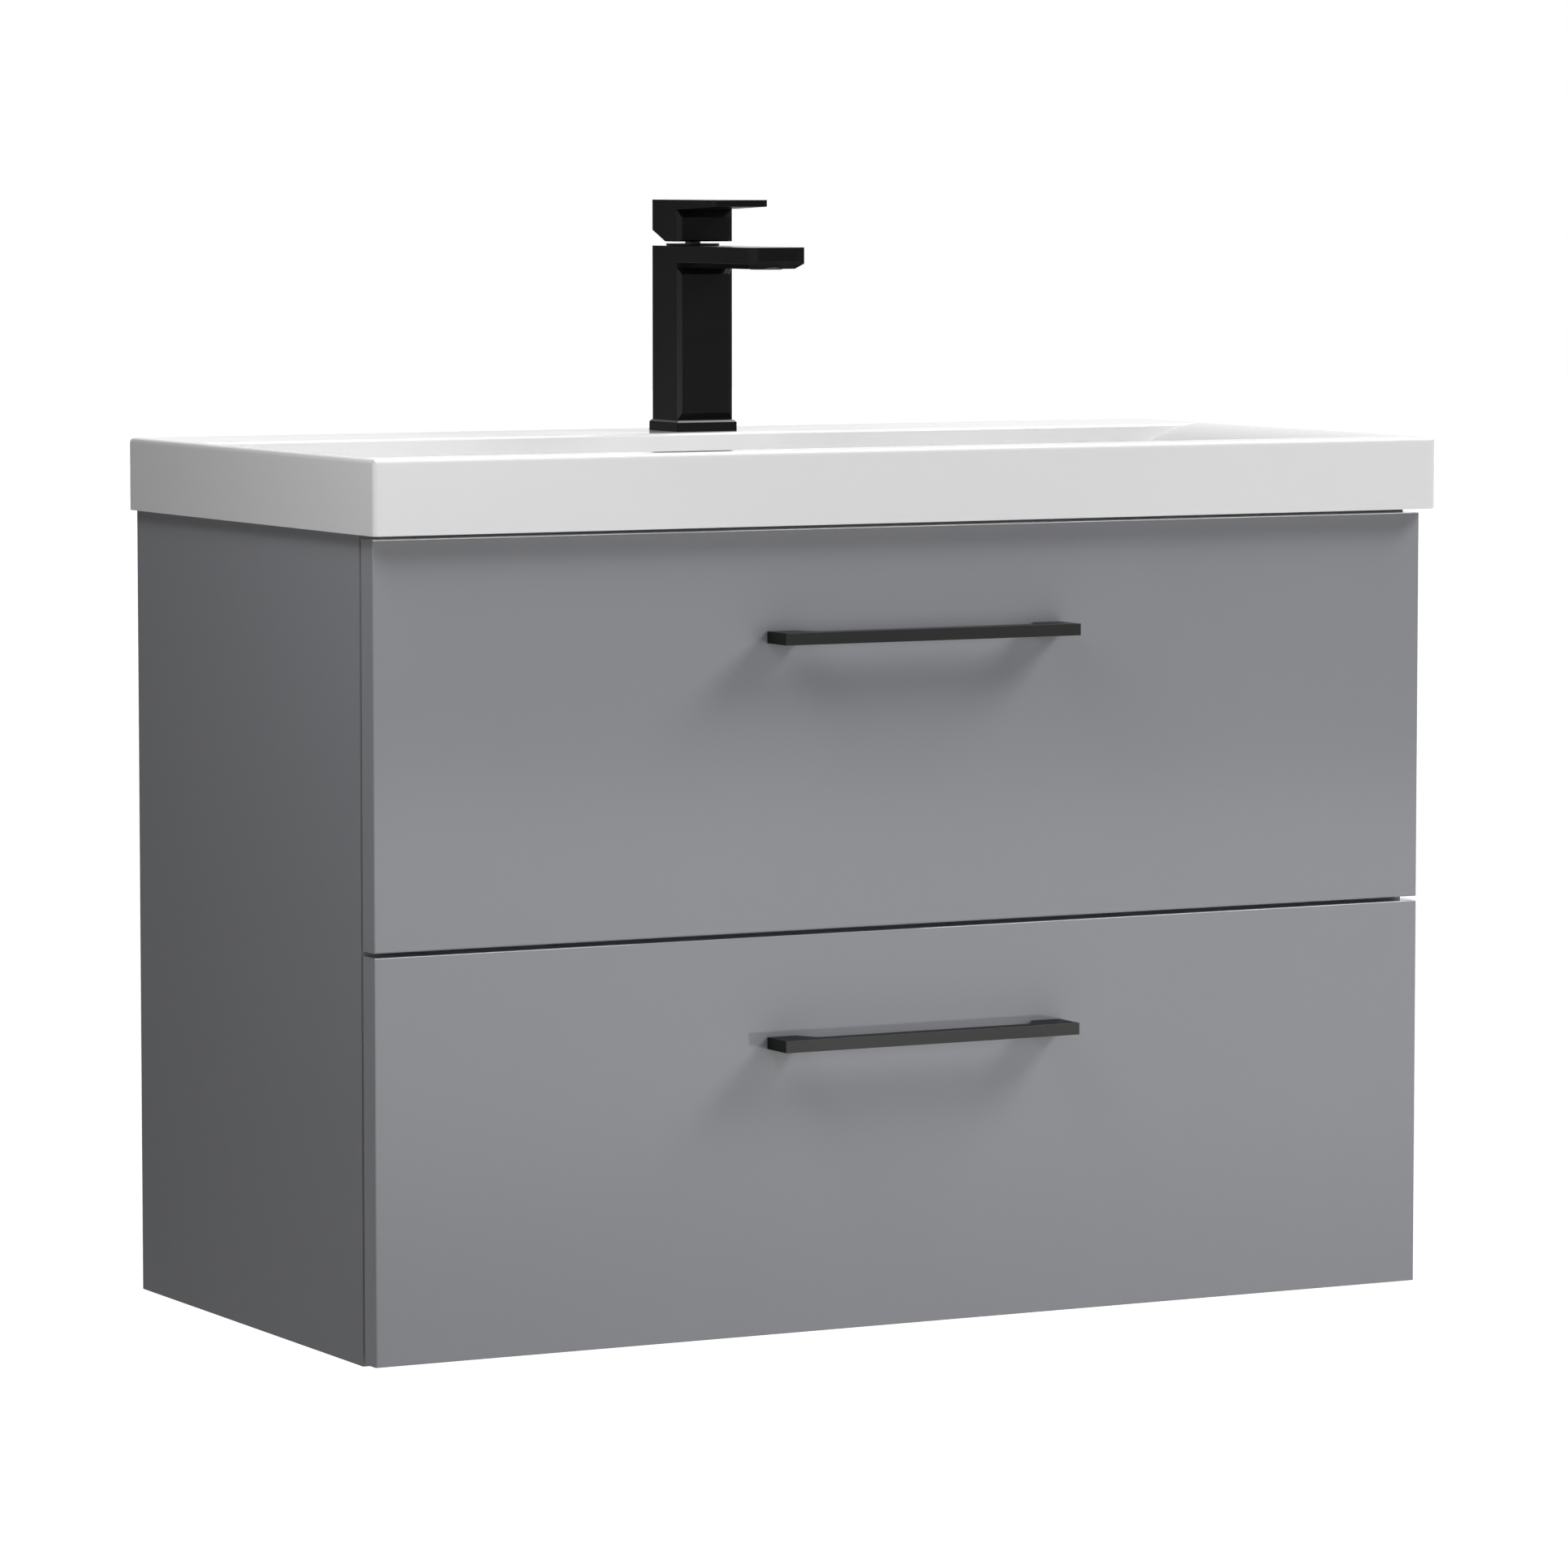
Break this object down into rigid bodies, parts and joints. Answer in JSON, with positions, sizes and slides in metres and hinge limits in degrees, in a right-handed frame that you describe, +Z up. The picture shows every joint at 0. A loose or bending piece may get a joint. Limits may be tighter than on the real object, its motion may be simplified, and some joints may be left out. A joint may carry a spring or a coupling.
{
  "type": "bathroom vanity cabinet",
  "caption": "Wall-hung bathroom vanity: soft grey cabinet with two sliding drawers on runners, black bar handles, white ceramic basin and black lever mixer tap.",
  "frame": {"origin": "the wall plane, on the centre line, level with the underside of the cabinet", "axes": "+X to the right as seen from the room, +Y into the wall, +Z up; the drawers open towards -Y"},
  "size_m": [0.81, 0.419, 0.7585],
  "materials": {
    "gloss_grey_front": "smooth grey foil with a soft sheen",
    "grey_board": "smooth grey board",
    "white_board": "white faced board",
    "beech": "plain beech",
    "black_handle": "satin black",
    "black_tap": "smooth black",
    "zinc_steel": "zinc plated",
    "chrome": "polished",
    "white_ceramic": "glossy white glaze",
    "black_rubber": "matt",
    "grey_plastic": "moulded",
    "cartridge_plastic": "moulded",
    "clear_pad": "soft",
    "brass": "turned"
  },
  "bodies": {
    "cabinet": {"side_panel_left": "grey_board", "side_panel_right": "grey_board", "bottom_panel": "grey_board", "front_rail": "grey_board", "middle_rail": "grey_board", "hanger_rail": "grey_board", "lower_rail": "grey_board", "carcass_dowels": "beech", "bumper_pads": "clear_pad", "cabinet_hangers": "zinc_steel", "wall_plates": "zinc_steel", "upper_runner_left_fixed": "zinc_steel", "upper_runner_right_fixed": "zinc_steel", "lower_runner_left_fixed": "zinc_steel", "lower_runner_right_fixed": "zinc_steel", "basin": "white_ceramic", "overflow_ring": "chrome", "waste_body": "chrome", "waste_seal": "black_rubber", "waste_nut": "grey_plastic", "tap_body": "black_tap", "tap_base_plate": "black_tap", "tap_aerator": "chrome", "tap_cartridge": "cartridge_plastic", "tap_collar": "black_tap", "tap_stud": "zinc_steel", "tap_clamp_washer": "zinc_steel", "tap_clamp_nut": "brass"},
    "upper_drawer": {"upper_runner_left_drawer": "zinc_steel", "upper_runner_right_drawer": "zinc_steel", "upper_drawer_front": "gloss_grey_front", "upper_drawer_inner_front": "white_board", "upper_drawer_side_left": "white_board", "upper_drawer_side_right": "white_board", "upper_drawer_backs": "white_board", "upper_drawer_base": "white_board", "upper_drawer_waste_surround": "white_board", "upper_drawer_front_screws": "zinc_steel", "upper_drawer_handle": "black_handle", "upper_drawer_handle_screws": "zinc_steel"},
    "lower_drawer": {"lower_runner_left_drawer": "zinc_steel", "lower_runner_right_drawer": "zinc_steel", "lower_drawer_front": "gloss_grey_front", "lower_drawer_inner_front": "white_board", "lower_drawer_side_left": "white_board", "lower_drawer_side_right": "white_board", "lower_drawer_back": "white_board", "lower_drawer_base": "white_board", "lower_drawer_front_screws": "zinc_steel", "lower_drawer_handle": "black_handle", "lower_drawer_handle_screws": "zinc_steel"},
    "upper_runner_middles": {"upper_runner_left_middle": "zinc_steel", "upper_runner_right_middle": "zinc_steel"},
    "lower_runner_middles": {"lower_runner_left_middle": "zinc_steel", "lower_runner_right_middle": "zinc_steel"},
    "tap_turning_core": {"tap_carrier": "zinc_steel"},
    "tap_lever": {"tap_lever": "black_tap", "tap_stem": "zinc_steel", "tap_pivot_pin": "zinc_steel"},
    "waste_plug": {"waste_plug": "chrome"}
  },
  "joints": [
    {"name": "upper_drawer_slide", "type": "slide", "parent": "cabinet", "child": "upper_drawer", "axis": [0, -1, 0], "range_m": [0, 0.3]},
    {"name": "lower_drawer_slide", "type": "slide", "parent": "cabinet", "child": "lower_drawer", "axis": [0, -1, 0], "range_m": [0, 0.3]},
    {"name": "upper_runner_slide", "type": "slide", "parent": "cabinet", "child": "upper_runner_middles", "axis": [0, -1, 0], "range_m": [0, 0.15]},
    {"name": "lower_runner_slide", "type": "slide", "parent": "cabinet", "child": "lower_runner_middles", "axis": [0, -1, 0], "range_m": [0, 0.15]},
    {"name": "lever_turn", "type": "hinge", "parent": "cabinet", "child": "tap_turning_core", "pos_m": [0, -0.0635, 0.714], "axis": [0, 0, 1], "range_deg": [-45, 45]},
    {"name": "lever_lift", "type": "hinge", "parent": "tap_turning_core", "child": "tap_lever", "pos_m": [0, -0.0635, 0.714], "axis": [-1, 0, 0], "range_deg": [0, 18]},
    {"name": "plug_slide", "type": "slide", "parent": "cabinet", "child": "waste_plug", "axis": [0, 0, 1], "range_m": [0, 0.008]}
  ],
  "couplings": [
    {"joint": "upper_runner_slide", "follows": "upper_drawer_slide", "ratio": 0.5},
    {"joint": "lower_runner_slide", "follows": "lower_drawer_slide", "ratio": 0.5}
  ]
}
